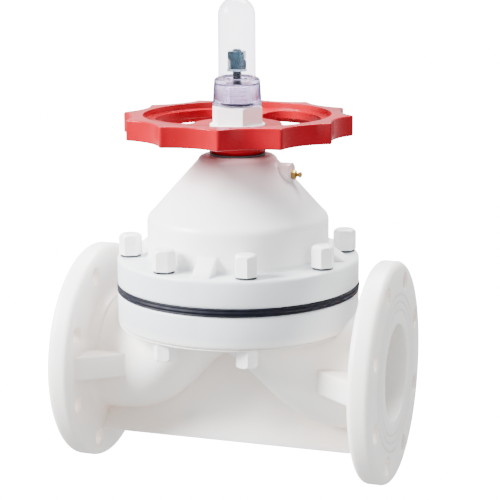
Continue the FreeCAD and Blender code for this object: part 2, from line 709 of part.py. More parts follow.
def make_sleeve():
    """Bush threaded on the stem: thrust flange, journal, driving flats and nut thread."""
    flange_top = SHOULDER_HEIGHT - THRUST_RING - SOFT
    journal = JOURNAL_DIAMETER / 2
    thread = THREAD_DIAMETER / 2
    shape = turned((0, flange_top - SLEEVE_FLANGE), (SLEEVE_FLANGE_OD / 2 - 1, flange_top - SLEEVE_FLANGE),
                   (SLEEVE_FLANGE_OD / 2, flange_top - SLEEVE_FLANGE + 1),
                   (SLEEVE_FLANGE_OD / 2, flange_top), (journal, flange_top),
                   (journal, WHEEL_SEAT), (0, WHEEL_SEAT))
    shape = shape.fuse([drive_form(DRIVE_DIAMETER, DRIVE_FLATS, WHEEL_SEAT, WEB_TOP_INNER - SOFT),
                        turned((0, WEB_TOP_INNER - SOFT), (thread, WEB_TOP_INNER - SOFT),
                               (thread, SLEEVE_TOP - 1), (thread - 1, SLEEVE_TOP),
                               (0, SLEEVE_TOP))])
    return shape.cut(cylinder(STEM_DIAMETER / 2 + RUNNING, 0, SLEEVE_TOP + 1))


def make_stem():
    radius = STEM_DIAMETER / 2
    shape = turned((0, STEM_FOOT), (radius - 1, STEM_FOOT), (radius, STEM_FOOT + 1),
                   (radius, STEM_TOP - 1.5), (radius - 1.5, STEM_TOP), (0, STEM_TOP))
    shape = shape.cut(cylinder(STOP_STUD_DIAMETER / 2 + SEATED, STEM_TOP - STOP_STUD_DEPTH,
                               STEM_TOP + 1))
    return shape.cut(cross_pin_hole())


def make_stopper_stud():
    radius = STOP_STUD_DIAMETER / 2
    return turned((0, STEM_TOP - STOP_STUD_DEPTH), (radius, STEM_TOP - STOP_STUD_DEPTH),
                  (radius, STOP_STUD_TOP - 1), (radius - 1, STOP_STUD_TOP), (0, STOP_STUD_TOP))


def make_stopper_washer():
    return tube(STOP_WASHER_OD / 2, STOP_STUD_DIAMETER / 2 + SEATED, STOP_WASHER_BOTTOM,
                STOP_WASHER_BOTTOM + STOP_WASHER_THICKNESS)


def make_stopper_nuts():
    nuts = []
    low = STOP_WASHER_BOTTOM + STOP_WASHER_THICKNESS
    for turn in (7.0, 33.0):
        nut = chamfered_hexagon(STOP_NUT_FLATS, low, low + STOP_NUT_HEIGHT)
        nut = nut.cut(cylinder(STOP_STUD_DIAMETER / 2 + SEATED, low - 1, low + STOP_NUT_HEIGHT + 1))
        nut.rotate(V(0, 0, 0), V(0, 0, 1), turn)
        nuts.append(nut)
        low += STOP_NUT_HEIGHT
    return Part.makeCompound(nuts)


def rim_outline():
    """Grip outline: pointed lobes with a hollow arc between each pair."""
    edges = []
    step = 360.0 / RIM_LOBES

    def at(radius, angle):
        return V(radius * math.cos(math.radians(angle)), radius * math.sin(math.radians(angle)), 0)
    for index in range(RIM_LOBES):
        turn = RIM_TURN + step * index
        edges.append(Part.Arc(at(RIM_TIP_RADIUS, turn), at(RIM_VALLEY_RADIUS, turn + step / 2),
                              at(RIM_TIP_RADIUS, turn + step)).toShape())
    return Part.Face(Part.Wire(edges))


def lobe_pockets():
    """Hollows under the lobes, open below, that keep the moulded skin even."""
    share = 1 - LOBE_SKIN / RIM_TIP_RADIUS
    outline = rim_outline()
    outline.scale(share)
    core = outline.extrude(V(0, 0, RIM_HEIGHT - LOBE_SKIN))
    core.translate(V(0, 0, RIM_BOTTOM - 1))
    inner = cylinder(RIM_VALLEY_RADIUS * share + 0.6, RIM_BOTTOM - 2, WHEEL_TOP)
    return core.cut(inner).Solids


def window(low, high):
    """Kidney-shaped window through the wheel's web."""
    middle = (WINDOW_INNER + WINDOW_OUTER) / 2
    half = (WINDOW_OUTER - WINDOW_INNER) / 2
    swing = math.radians(WINDOW_SPAN / 2) - math.asin(half / middle)

    def at(radius, turn):
        return V(radius * math.cos(turn), radius * math.sin(turn), low)

    def end(side):
        centre = at(middle, side * swing)
        along = side * swing + side * math.pi / 2
        return centre + V(half * math.cos(along), half * math.sin(along), 0)
    edges = [Part.Arc(at(WINDOW_OUTER, -swing), at(WINDOW_OUTER, 0), at(WINDOW_OUTER, swing)),
             Part.Arc(at(WINDOW_OUTER, swing), end(1), at(WINDOW_INNER, swing)),
             Part.Arc(at(WINDOW_INNER, swing), at(WINDOW_INNER, 0), at(WINDOW_INNER, -swing)),
             Part.Arc(at(WINDOW_INNER, -swing), end(-1), at(WINDOW_OUTER, -swing))]
    face = Part.Face(Part.Wire([edge.toShape() for edge in edges]))
    return face.extrude(V(0, 0, high - low))


def make_handwheel():
    rim = rim_outline().extrude(V(0, 0, RIM_HEIGHT))
    rim.translate(V(0, 0, RIM_BOTTOM))
    tips = [edge for edge in rim.Edges if abs(edge.tangentAt(edge.FirstParameter).z) > 0.99]
    rim = rim.makeFillet(RIM_TIP_ROUND, tips)
    rims = [edge for edge in rim.Edges if abs(edge.BoundBox.ZMax - edge.BoundBox.ZMin) < 1e-4]
    rim = rim.makeFillet(RIM_EDGE_ROUND, rims)
    well = turned((0, WEB_TOP_INNER), (WHEEL_BOSS_OD / 2, WEB_TOP_INNER),
                  (WELL_RADIUS - 3, WEB_TOP_OUTER), (WELL_RADIUS - 1, WEB_TOP_OUTER),
                  (WELL_RADIUS, WHEEL_TOP + 1), (0, WHEEL_TOP + 1))
    hollow_wall = RIM_VALLEY_RADIUS - RIM_WALL
    under_outer = WEB_TOP_OUTER - WHEEL_WEB
    under_inner = WEB_TOP_INNER - WHEEL_WEB
    hollow = turned((0, RIM_BOTTOM - 1), (hollow_wall + 1, RIM_BOTTOM - 1),
                    (hollow_wall, under_outer - 3), (hollow_wall - 3, under_outer),
                    (WHEEL_BOSS_OD / 2, under_inner), (0, under_inner))
    shape = rim.cut(well).cut(hollow)
    for pocket in lobe_pockets():
        shape = shape.cut(pocket)
    for opening in around(window(RIM_BOTTOM, WHEEL_TOP), WINDOWS, WINDOW_TURN):
        shape = shape.cut(opening)
    boss = WHEEL_BOSS_OD / 2
    shape = shape.fuse(turned((0, WHEEL_SEAT), (boss - 3, WHEEL_SEAT), (boss, WHEEL_SEAT + 3),
                              (boss + 3, under_inner + 0.5), (boss + 3, WEB_TOP_INNER),
                              (0, WEB_TOP_INNER)))
    return shape.cut(drive_form(DRIVE_DIAMETER + 2 * SEATED, DRIVE_FLATS + 2 * SEATED,
                                WHEEL_SEAT - 1, WEB_TOP_INNER + 1))


def make_hub_nut():
    flats = HUB_NUT_CORNERS * math.sqrt(3) / 2
    shape = chamfered_hexagon(flats, WEB_TOP_INNER, HUB_NUT_TOP, both=False)
    foot = turned((0, WEB_TOP_INNER), (HUB_NUT_FOOT_OD / 2, WEB_TOP_INNER),
                  (HUB_NUT_FOOT_OD / 2, WEB_TOP_INNER + HUB_NUT_FOOT / 2),
                  (flats / 2, WEB_TOP_INNER + HUB_NUT_FOOT), (0, WEB_TOP_INNER + HUB_NUT_FOOT))
    return shape.fuse(foot).cut(cylinder(THREAD_DIAMETER / 2 + SEATED, WEB_TOP_INNER - 1,
                                         HUB_NUT_TOP + 1))


def make_gauge_cover():
    """Clear tube with a domed end and a thick collar that screws on to the sleeve."""
    outer = COVER_OD / 2
    inner = outer - COVER_WALL
    low = HUB_NUT_TOP
    thread = THREAD_DIAMETER / 2 + SEATED
    centre = COVER_TOP - outer
    rounding = 2.0
    upper = COLLAR_UPPER_OD / 2
    ring_room = RING_SECTION + 0.4
    room_radius = thread + RING_SECTION + 0.4
    return turned(
        (room_radius, low), (COLLAR_LOWER_OD / 2, low), (upper, COLLAR_TOP - rounding),
        corner((upper - rounding, COLLAR_TOP - rounding), rounding, 0, 90),
        (outer, COLLAR_TOP + 1.5), (outer, centre), corner((0, centre), outer, 0, 90),
        (0, centre + inner), corner((0, centre), inner, 90, 0),
        (inner, SLEEVE_TOP + 1), (thread, SLEEVE_TOP - 1), (thread, low + ring_room),
        (room_radius, low + ring_room))


def make_cover_ring():
    return ring_seal(THREAD_DIAMETER / 2, HUB_NUT_TOP + RING_SECTION / 2, SEATED)


def through_bolt():
    head_top = BODY_JOINT_BOTTOM - WASHER_THICKNESS
    top = BONNET_JOINT_TOP + WASHER_THICKNESS + NUT_HEIGHT + BOLT_END
    radius = BOLT_DIAMETER / 2
    shank = turned((0, head_top), (radius, head_top), (radius, top - 1), (radius - 1, top), (0, top))
    return shank.fuse(chamfered_hexagon(BOLT_FLATS, head_top - HEAD_HEIGHT, head_top))


def short_stud():
    low = SEAT_HEIGHT - INSERT_LENGTH + 3
    top = BONNET_JOINT_TOP + WASHER_THICKNESS + NUT_HEIGHT + BOLT_END
    radius = BOLT_DIAMETER / 2
    return turned((0, low), (radius, low), (radius, top - 1), (radius - 1, top), (0, top))


def washer(low):
    return tube(WASHER_OD / 2, BOLT_HOLE / 2, low, low + WASHER_THICKNESS)


def joint_nut():
    low = BONNET_JOINT_TOP + WASHER_THICKNESS
    nut = chamfered_hexagon(BOLT_FLATS, low, low + NUT_HEIGHT)
    return nut.cut(cylinder(BOLT_DIAMETER / 2 + SEATED, low - 1, low + NUT_HEIGHT + 1))


def cap(height, room):
    """Hexagonal press-on cap over a nut or head, drawn mouth down at height zero."""
    crown = 2.6
    half = CAP_FLATS / 2
    corners = CAP_FLATS / math.sqrt(3)
    envelope = turned((0, 0), (corners, 0), (corners, height - 2 * crown),
                      ((half + 0.2, height - crown * 0.55), (half - 3.5, height)), (0, height))
    shape = hexagon(CAP_FLATS, 0, height).common(envelope)
    return shape.cut(hexagon(BOLT_FLATS + 2 * SEATED, -1, room))


def top_cap():
    shape = cap(TOP_CAP_HEIGHT, NUT_HEIGHT + BOLT_END + 1)
    shape.translate(V(0, 0, BONNET_JOINT_TOP + WASHER_THICKNESS))
    return shape


def bottom_cap():
    shape = cap(BOTTOM_CAP_HEIGHT, HEAD_HEIGHT + 1)
    shape.rotate(V(0, 0, 0), V(1, 0, 0), 180)
    shape.translate(V(0, 0, BODY_JOINT_BOTTOM - WASHER_THICKNESS))
    return shape


def stud_insert():
    return tube(INSERT_OD / 2, BOLT_DIAMETER / 2 + SEATED, SEAT_HEIGHT - INSERT_LENGTH, SEAT_HEIGHT)


NODES = {
    "body": make_body,
    "bonnet": make_bonnet,
    "diaphragm": make_diaphragm,
    "through_bolts": lambda: at_joint_bolts(through_bolt(), True),
    "short_studs": lambda: at_joint_bolts(short_stud(), False),
    "stud_inserts": lambda: at_joint_bolts(stud_insert(), False),
    "top_washers": lambda: at_joint_bolts(washer(BONNET_JOINT_TOP)),
    "bottom_washers": lambda: at_joint_bolts(washer(BODY_JOINT_BOTTOM - WASHER_THICKNESS), True),
    "top_nuts": lambda: at_joint_bolts(joint_nut()),
    "top_caps": lambda: at_joint_bolts(top_cap()),
    "bottom_caps": lambda: at_joint_bolts(bottom_cap(), True),
    "foot_inserts": make_foot_inserts,
    "grease_nipple": make_grease_nipple,
    "neck_ring": make_neck_ring,
    "lower_thrust_ring": make_lower_thrust_ring,
    "upper_thrust_washer": make_upper_thrust_washer,
    "handwheel": make_handwheel,
    "sleeve": make_sleeve,
    "hub_nut": make_hub_nut,
    "gauge_cover": make_gauge_cover,
    "cover_ring": make_cover_ring,
    "stem": make_stem,
    "stopper_stud": make_stopper_stud,
    "stopper_washer": make_stopper_washer,
    "stopper_nuts": make_stopper_nuts,
    "compressor": make_compressor,
    "compressor_pin": make_compressor_pin,
    "diaphragm_stud": make_diaphragm_stud,
}

os.makedirs("parts", exist_ok=True)
for name, make in NODES.items():
    shape = make()
    shape.translate(V(HALF_LENGTH, 0, 0))
    solids = shape.Solids
    print(name, len(solids), "solids, valid", shape.isValid(), "volume", round(shape.Volume, 1))
    if shape.ShapeType != "Solid" and len(solids) == 1:
        shape = solids[0]
    shape.exportStep("parts/" + name + ".step")
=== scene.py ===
"""Flanged plastic diaphragm valve: the looks of each piece, in the order it is put together."""
import math

import bpy
from mathutils import Matrix, Vector


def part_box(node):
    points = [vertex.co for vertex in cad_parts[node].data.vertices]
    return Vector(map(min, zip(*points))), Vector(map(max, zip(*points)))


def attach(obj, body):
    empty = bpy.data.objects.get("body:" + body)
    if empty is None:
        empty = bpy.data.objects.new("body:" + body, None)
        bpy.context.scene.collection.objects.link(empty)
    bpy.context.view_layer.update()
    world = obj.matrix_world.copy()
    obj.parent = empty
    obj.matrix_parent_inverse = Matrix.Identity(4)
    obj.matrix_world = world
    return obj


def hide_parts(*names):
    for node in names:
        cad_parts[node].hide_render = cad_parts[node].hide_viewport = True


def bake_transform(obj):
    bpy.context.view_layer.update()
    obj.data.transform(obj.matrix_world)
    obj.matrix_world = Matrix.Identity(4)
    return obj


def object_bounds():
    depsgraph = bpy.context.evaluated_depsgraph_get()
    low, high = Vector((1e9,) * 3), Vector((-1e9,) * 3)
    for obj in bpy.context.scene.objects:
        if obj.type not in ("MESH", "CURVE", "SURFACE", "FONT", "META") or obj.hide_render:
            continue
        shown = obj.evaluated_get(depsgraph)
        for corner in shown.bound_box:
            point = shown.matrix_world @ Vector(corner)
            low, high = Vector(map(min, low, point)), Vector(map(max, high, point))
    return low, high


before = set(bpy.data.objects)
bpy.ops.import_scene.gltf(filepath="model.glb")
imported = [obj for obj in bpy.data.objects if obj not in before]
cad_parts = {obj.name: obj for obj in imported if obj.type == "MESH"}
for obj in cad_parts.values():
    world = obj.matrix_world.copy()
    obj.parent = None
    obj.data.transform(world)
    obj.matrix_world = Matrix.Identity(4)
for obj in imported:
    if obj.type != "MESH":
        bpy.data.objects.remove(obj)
cad_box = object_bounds()
bpy.ops.object.select_all(action="DESELECT")
axis_x = sum(corner.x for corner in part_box("stem")) / 2

# The studio: a table of white paper inside a round tent of it, so bright that both stay white
# from every side. A dimmer tent is what clear plastic shows of the room behind it.
low_z = cad_box[0].z
paper_glow = 16.0
glow_behind_clear = 4.2


def glowing(name, strength):
    """White paper lit from behind."""
    paper = bpy.data.materials.new(name)
    paper.use_nodes = True
    shader = paper.node_tree.nodes["Principled BSDF"]
    shader.inputs["Base Color"].default_value = (0.93, 0.93, 0.93, 1.0)
    shader.inputs["Roughness"].default_value = 0.9
    shader.inputs["Specular IOR Level"].default_value = 0.1
    shader.inputs["Emission Color"].default_value = (1.0, 1.0, 1.0, 1.0)
    shader.inputs["Emission Strength"].default_value = strength
    return paper


def backdrop(name, strength, behind_glass=False):
    """Name the sheet that was just added, and let only the eye or only clear plastic see it."""
    sheet = bpy.context.object
    sheet.name = name
    sheet.data.name = name
    bpy.ops.object.transform_apply(location=True, rotation=True, scale=True)
    sheet.data.materials.append(glowing(name, strength))
    sheet.visible_diffuse = False
    sheet.visible_glossy = False
    sheet.visible_shadow = False
    sheet.visible_camera = not behind_glass
    sheet.visible_transmission = behind_glass


bpy.ops.mesh.primitive_grid_add(x_subdivisions=8, y_subdivisions=8, size=10.0,
                                location=(axis_x, 0.0, low_z - 0.0002))
backdrop("table_paper", paper_glow)
bpy.ops.mesh.primitive_cylinder_add(vertices=96, radius=4.2, depth=5.0, end_fill_type="NOTHING",
                                    location=(axis_x, 0.0, low_z + 2.4))
backdrop("tent_wall", paper_glow)
bpy.ops.mesh.primitive_uv_sphere_add(segments=48, ring_count=24, radius=4.0,
                                     location=(axis_x, 0.0, 0.0))
backdrop("tent_behind_glass", glow_behind_clear, behind_glass=True)

world = bpy.data.worlds.new("studio")
world.use_nodes = True
room_light = world.node_tree.nodes["Background"]
room_light.inputs["Color"].default_value = (1.0, 1.0, 1.0, 1.0)
room_light.inputs["Strength"].default_value = 1.1
bpy.context.scene.world = world


def soft_box(name, place, aim, width, height, watts, colour=(1.0, 1.0, 1.0)):
    """Rectangular lamp that faces a point."""
    lamp = bpy.data.lights.new(name, "AREA")
    lamp.shape = "RECTANGLE"
    lamp.size = width
    lamp.size_y = height
    lamp.energy = watts
    lamp.color = colour
    holder = bpy.data.objects.new(name, lamp)
    holder.location = place
    holder.rotation_mode = "QUATERNION"
    holder.rotation_quaternion = (Vector(aim) - Vector(place)).to_track_quat("-Z", "Y")
    bpy.context.scene.collection.objects.link(holder)


dome_middle = (axis_x, 0.0, 0.12)
soft_box("key_box", (-1.6, -1.2, 1.45), dome_middle, 1.1, 1.1, 370.0)
soft_box("fill_box", (1.7, -1.3, 0.6), dome_middle, 0.9, 1.2, 10.0, (0.95, 0.97, 1.0))
soft_box("top_box", (axis_x, 0.9, 1.8), dome_middle, 1.6, 0.9, 150.0)

# The camera stands in front, 18 degrees round to the outlet's side and 9 degrees up, with a
# long lens. Its picture plane is shifted, as the valve sits off the middle of a cropped picture.
stand = Vector((axis_x + 0.52555, -1.55733, 0.48425))
turn = math.radians(17.72)
rise = math.radians(9.18)
roll = math.radians(-0.26)
back = Vector((math.sin(turn) * math.cos(rise), -math.cos(turn) * math.cos(rise),
               math.sin(rise)))
level = Vector((math.cos(turn), math.sin(turn), 0.0))
upward = back.cross(level)
right = level * math.cos(roll) + upward * math.sin(roll)
upright = upward * math.cos(roll) - level * math.sin(roll)
lens = bpy.data.cameras.new("photo_view")
lens.sensor_width = 36.0
lens.lens = 115.76
lens.shift_x = -0.0266
lens.shift_y = -0.1904
lens.clip_start = 0.05
lens.clip_end = 30.0
camera = bpy.data.objects.new("photo_view", lens)
camera.matrix_world = Matrix((
    (right.x, upright.x, back.x, stand.x),
    (right.y, upright.y, back.y, stand.y),
    (right.z, upright.z, back.z, stand.z),
    (0.0, 0.0, 0.0, 1.0)))
bpy.context.scene.collection.objects.link(camera)
bpy.context.scene.camera = camera


# The body is moulded in natural polypropylene, a milky white that lets light a little way in.
# Thick flanges cool slowly, so the surface has faint clouds and a soft, slightly waxy gloss.
def finish(name, colour, roughness):
    """New material with its principled shader set, and its node tree."""
    material = bpy.data.materials.new(name)
    material.use_nodes = True
    shader = material.node_tree.nodes["Principled BSDF"]
    shader.inputs["Base Color"].default_value = (*colour, 1.0)
    shader.inputs["Roughness"].default_value = roughness
    return material, shader, material.node_tree


def grain(tree, scale, detail, stretch=(1.0, 1.0, 1.0)):
    """Noise on the piece's own coordinates, as its factor socket."""
    place = tree.nodes.new("ShaderNodeTexCoord")
    mapping = tree.nodes.new("ShaderNodeMapping")
    mapping.inputs["Scale"].default_value = stretch
    noise = tree.nodes.new("ShaderNodeTexNoise")
    noise.inputs["Scale"].default_value = scale
    noise.inputs["Detail"].default_value = detail
    tree.links.new(place.outputs["Object"], mapping.inputs["Vector"])
    tree.links.new(mapping.outputs["Vector"], noise.inputs["Vector"])
    return noise.outputs["Fac"]


def blend_colours(tree, factor, first, second, socket, low=0.35, high=0.65):
    """Colour ramp between two tones over part of a factor's range."""
    ramp = tree.nodes.new("ShaderNodeValToRGB")
    ramp.color_ramp.elements[0].position = low
    ramp.color_ramp.elements[0].color = (*first, 1.0)
    ramp.color_ramp.elements[1].position = high
    ramp.color_ramp.elements[1].color = (*second, 1.0)
    tree.links.new(factor, ramp.inputs["Fac"])
    tree.links.new(ramp.outputs["Color"], socket)


def soften(tree, radius):
    """Normals that round every edge and corner over a small radius, as a mould leaves them."""
    rounded = tree.nodes.new("ShaderNodeBevel")
    rounded.samples = 6
    rounded.inputs["Radius"].default_value = radius
    return rounded.outputs["Normal"]


def roughen(tree, shader, layers, under=None):
    """Bumps laid over each other: each layer is a factor, a strength and a depth in metres."""
    for factor, strength, depth in layers:
        bump = tree.nodes.new("ShaderNodeBump")
        bump.inputs["Strength"].default_value = strength
        bump.inputs["Distance"].default_value = depth
        tree.links.new(factor, bump.inputs["Height"])
        if under is not None:
            tree.links.new(under, bump.inputs["Normal"])
        under = bump.outputs["Normal"]
    tree.links.new(under, shader.inputs["Normal"])


def vary_gloss(tree, shader, factor, low, high):
    """Roughness that wanders between two values."""
    reach = tree.nodes.new("ShaderNodeMapRange")
    reach.inputs["From Min"].default_value = 0.3
    reach.inputs["From Max"].default_value = 0.7
    reach.inputs["To Min"].default_value = low
    reach.inputs["To Max"].default_value = high
    tree.links.new(factor, reach.inputs["Value"])
    tree.links.new(reach.outputs["Result"], shader.inputs["Roughness"])


def milky(name, bright, cloud, depth, edge):
    """Natural polypropylene: light passes a few millimetres in before it comes back."""
    material, shader, tree = finish(name, bright, 0.36)
    shader.inputs["Subsurface Weight"].default_value = 0.65
    shader.inputs["Subsurface Radius"].default_value = (1.0, 0.86, 0.72)
    shader.inputs["Subsurface Scale"].default_value = depth
    shader.inputs["IOR"].default_value = 1.49
    clouds = grain(tree, 14.0, 3.0)
    blend_colours(tree, clouds, cloud, bright, shader.inputs["Base Color"])
    vary_gloss(tree, shader, clouds, 0.28, 0.42)
    roughen(tree, shader, [(grain(tree, 38.0, 2.0), 0.25, 0.0006),
                           (grain(tree, 1400.0, 2.0), 0.18, 0.00005)],
            soften(tree, edge))
    return material


def dress(node, material):
    """Give a CAD node its finish, with its facets smoothed and its true edges kept."""
    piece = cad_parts[node]
    piece.data.materials.clear()
    piece.data.materials.append(material)
    for face in piece.data.polygons:
        face.use_smooth = True
    weld = piece.modifiers.new("weld", "WELD")
    weld.merge_threshold = 0.00002
    split = piece.modifiers.new("edges", "EDGE_SPLIT")
    split.split_angle = math.radians(32.0)


def near_stem(tree, stops, furthest=0.25):
    """A ramp over the distance from the stem's line, in metres, as its colour socket."""
    place = tree.nodes.new("ShaderNodeTexCoord")
    flat = tree.nodes.new("ShaderNodeMapping")
    flat.inputs["Location"].default_value = (-axis_x, 0.0, 0.0)
    flat.inputs["Scale"].default_value = (1.0, 1.0, 0.0)
    reach = tree.nodes.new("ShaderNodeVectorMath")
    reach.operation = "LENGTH"
    tree.links.new(place.outputs["Object"], flat.inputs["Vector"])
    tree.links.new(flat.outputs["Vector"], reach.inputs[0])
    ramp = tree.nodes.new("ShaderNodeValToRGB")
    for point, (distance, value) in enumerate(stops):
        if point > 1:
            ramp.color_ramp.elements.new(distance / furthest)
        ramp.color_ramp.elements[point].position = distance / furthest
        ramp.color_ramp.elements[point].color = (value, value, value, 1.0)
    spread = tree.nodes.new("ShaderNodeMapRange")
    spread.inputs["From Max"].default_value = furthest
    tree.links.new(reach.outputs["Value"], spread.inputs["Value"])
    tree.links.new(spread.outputs["Result"], ramp.inputs["Fac"])
    return ramp.outputs["Color"]


def by_height(tree, low, high, at_low=0.0, at_high=1.0):
    """A value that goes from one to another between two heights."""
    place = tree.nodes.new("ShaderNodeTexCoord")
    parts = tree.nodes.new("ShaderNodeSeparateXYZ")
    spread = tree.nodes.new("ShaderNodeMapRange")
    spread.inputs["From Min"].default_value = low
    spread.inputs["From Max"].default_value = high
    spread.inputs["To Min"].default_value = at_low
    spread.inputs["To Max"].default_value = at_high
    tree.links.new(place.outputs["Object"], parts.inputs["Vector"])
    tree.links.new(parts.outputs["Z"], spread.inputs["Value"])
    return spread.outputs["Result"]


def tint(tree, shader, factor, colour):
    """Lay a second tone over a piece's colour where a factor says so."""
    under = shader.inputs["Base Color"].links[0].from_socket
    both = tree.nodes.new("ShaderNodeMix")
    both.data_type = "RGBA"
    share, first, second, mixed = both.inputs[0], both.inputs[6], both.inputs[7], both.outputs[2]
    second.default_value = (*colour, 1.0)
    tree.links.new(factor, share)
    tree.links.new(under, first)
    tree.links.new(mixed, shader.inputs["Base Color"])


def times(tree, first, second):
    """Two factors multiplied."""
    product = tree.nodes.new("ShaderNodeMath")
    product.operation = "MULTIPLY"
    tree.links.new(first, product.inputs[0])
    tree.links.new(second, product.inputs[1])
    return product.outputs["Value"]


def recess_shade_mask(tree, reach, low=0.45, high=0.95, alone=True):
    """How deep a place lies in a recess, from 0 in the open to 1 in a corner, as a mask for
    painted shade.
    """
    hollow = tree.nodes.new("ShaderNodeAmbientOcclusion")
    hollow.samples = 6
    hollow.only_local = alone
    hollow.inputs["Distance"].default_value = reach
    depth = tree.nodes.new("ShaderNodeMapRange")
    depth.inputs["From Min"].default_value = high
    depth.inputs["From Max"].default_value = low
    tree.links.new(hollow.outputs["AO"], depth.inputs["Value"])
    return depth.outputs["Result"]


body_plastic = milky("natural_body_plastic", (0.95, 0.93, 0.905), (0.92, 0.895, 0.865),
                     0.010, 0.003)
body_tree = body_plastic.node_tree
body_shader = body_tree.nodes["Principled BSDF"]
# Painted shade: a warmer, darker tone laid in the body's corners and recesses.
painted_warm_corner_shade = (0.88, 0.81, 0.76)
painted_cool_rim_shade = (0.70, 0.735, 0.765)
tint(body_tree, body_shader, recess_shade_mask(body_tree, 0.05), painted_warm_corner_shade)
# Painted shade: a darker, cooler tone on a band round the seat's rim by the joint.
rim_shade_mask = near_stem(body_tree, [(0.098, 0.0), (0.104, 1.0), (0.127, 1.0), (0.129, 0.0)])
tint(body_tree, body_shader, times(body_tree, rim_shade_mask, by_height(body_tree, 0.045, 0.056)),
     painted_cool_rim_shade)
dress("body", body_plastic)

# Brass inserts are moulded into the seat for the studs beside the pipe, and into the foot
# for a support bracket's screws. They are turned from bar and show fine lathe rings.
brass_turned, brass_shader, brass_tree = finish("turned_brass", (0.78, 0.56, 0.24), 0.30)
brass_shader.inputs["Metallic"].default_value = 1.0
lathe_marks = grain(brass_tree, 300.0, 1.0, (0.2, 0.2, 6.0))
vary_gloss(brass_tree, brass_shader, lathe_marks, 0.22, 0.36)
roughen(brass_tree, brass_shader, [(lathe_marks, 0.2, 0.0001)])
blend_colours(brass_tree, grain(brass_tree, 90.0, 2.0), (0.28, 0.17, 0.05), (0.42, 0.28, 0.09),
              brass_shader.inputs["Base Color"])
for node in ("stud_inserts", "foot_inserts"):
    dress(node, brass_turned)


# The diaphragm is moulded rubber: a thick rim clamped between body and bonnet, and a thin
# dished middle that the stem pulls up. It bends between the two, so it is one sheet here.
def drawn_line(name, points):
    """A chain of vertices in the plane through the stem, from radii and heights."""
    bpy.ops.object.select_all(action="DESELECT")
    bpy.ops.mesh.primitive_plane_add(size=0.001, location=(0.0, 0.0, 0.0))
    piece = bpy.context.object
    piece.name = name
    piece.data.name = name
    bpy.ops.object.mode_set(mode="EDIT")
    bpy.ops.mesh.select_all(action="SELECT")
    bpy.ops.mesh.merge(type="CENTER")
    bpy.ops.transform.translate(value=(axis_x + points[0][0], 0.0, points[0][1]))
    for before, after in zip(points, points[1:]):
        step = (after[0] - before[0], 0.0, after[1] - before[1])
        bpy.ops.mesh.extrude_vertices_move(TRANSFORM_OT_translate={"value": step})
    bpy.ops.object.mode_set(mode="OBJECT")
    return piece


def close_shape(piece, angle=32.0):
    """Merge the seam and poles, turn the faces outwards and smooth all but real edges."""
    bpy.ops.object.mode_set(mode="EDIT")
    bpy.ops.mesh.select_all(action="SELECT")
    bpy.ops.mesh.remove_doubles(threshold=0.000002)
    bpy.ops.mesh.normals_make_consistent(inside=False)
    bpy.ops.object.mode_set(mode="OBJECT")
    bpy.ops.object.shade_smooth_by_angle(angle=math.radians(angle))
    return piece


def turned(name, points, steps=96, angle=32.0):
    """A shape spun about the stem from a line of radii and heights."""
    piece = drawn_line(name, points)
    bpy.ops.object.mode_set(mode="EDIT")
    bpy.ops.mesh.select_all(action="SELECT")
    bpy.ops.mesh.spin(steps=steps, angle=2 * math.pi, center=(axis_x, 0.0, 0.0),
                      axis=(0.0, 0.0, 1.0))
    bpy.ops.object.mode_set(mode="OBJECT")
    return close_shape(piece, angle)


def wear(piece, material, body, slot, *stands_for):
    """Give a new piece its finish and its body, and hide what it stands for. Its slot is not
    used.
    """
    piece.data.materials.clear()
    piece.data.materials.append(material)
    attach(piece, body)
    if stands_for:
        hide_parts(*stands_for)


rubber, rubber_shader, rubber_tree = finish("moulded_rubber", (0.022, 0.024, 0.038), 0.5)
rubber_shader.inputs["Specular IOR Level"].default_value = 0.12
rubber_bloom = grain(rubber_tree, 70.0, 4.0)
blend_colours(rubber_tree, rubber_bloom, (0.0030, 0.0036, 0.0080), (0.0065, 0.0075, 0.0150),
              rubber_shader.inputs["Base Color"])
vary_gloss(rubber_tree, rubber_shader, rubber_bloom, 0.40, 0.62)
roughen(rubber_tree, rubber_shader, [(grain(rubber_tree, 1800.0, 2.0), 0.3, 0.0001)])

rim_low, rim_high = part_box("diaphragm")
rim_thickness = 0.0083
seat = rim_high.z - rim_thickness
rim_radius = rim_high.x - axis_x
rim_inside = 0.080
crest = rim_low.z
rim = turned("diaphragm_rim", [
    (rim_inside, seat), (rim_radius - 0.0012, seat), (rim_radius - 0.0003, seat + 0.0010),
    (rim_radius - 0.0009, seat + 0.0022), (rim_radius, seat + rim_thickness / 2),
    (rim_radius - 0.0009, seat + 0.0061), (rim_radius - 0.0003, seat + 0.0073),
    (rim_radius - 0.0012, rim_high.z), (rim_inside - 0.002, rim_high.z), (rim_inside, seat)],
    steps=160)
wear(rim, rubber, "valve", "diaphragm_rubber", "diaphragm")


def dish(radius):
    """Height of the dished middle's underside at a radius, as part of a sphere."""
    sphere = 0.0952
    return crest + sphere - math.sqrt(sphere ** 2 - radius ** 2)


pad_edge = 0.0555
pad_radii = [0.0, 0.008, 0.016, 0.024, 0.032, 0.040, 0.048, pad_edge]
clear_of_weir = 0.0002
pad_top = 0.0075
pad = turned("diaphragm_pad", [(radius, dish(radius) + clear_of_weir) for radius in pad_radii] +
             [(radius, dish(radius) + pad_top) for radius in reversed(pad_radii)], steps=96)
wear(pad, rubber, "stem", "diaphragm_rubber")
edge_height = dish(pad_edge)
sheet = 0.0025
slope = [(0.0550, edge_height), (0.062, edge_height + 0.0052), (0.069, edge_height + 0.0102),
         (0.075, edge_height + 0.0150), (0.0812, seat)]
fold = turned("diaphragm_fold", slope + [(radius, height + sheet)
                                         for radius, height in reversed(slope)] + slope[:1],
              steps=96)
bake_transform(fold)
fold.data.materials.append(rubber)

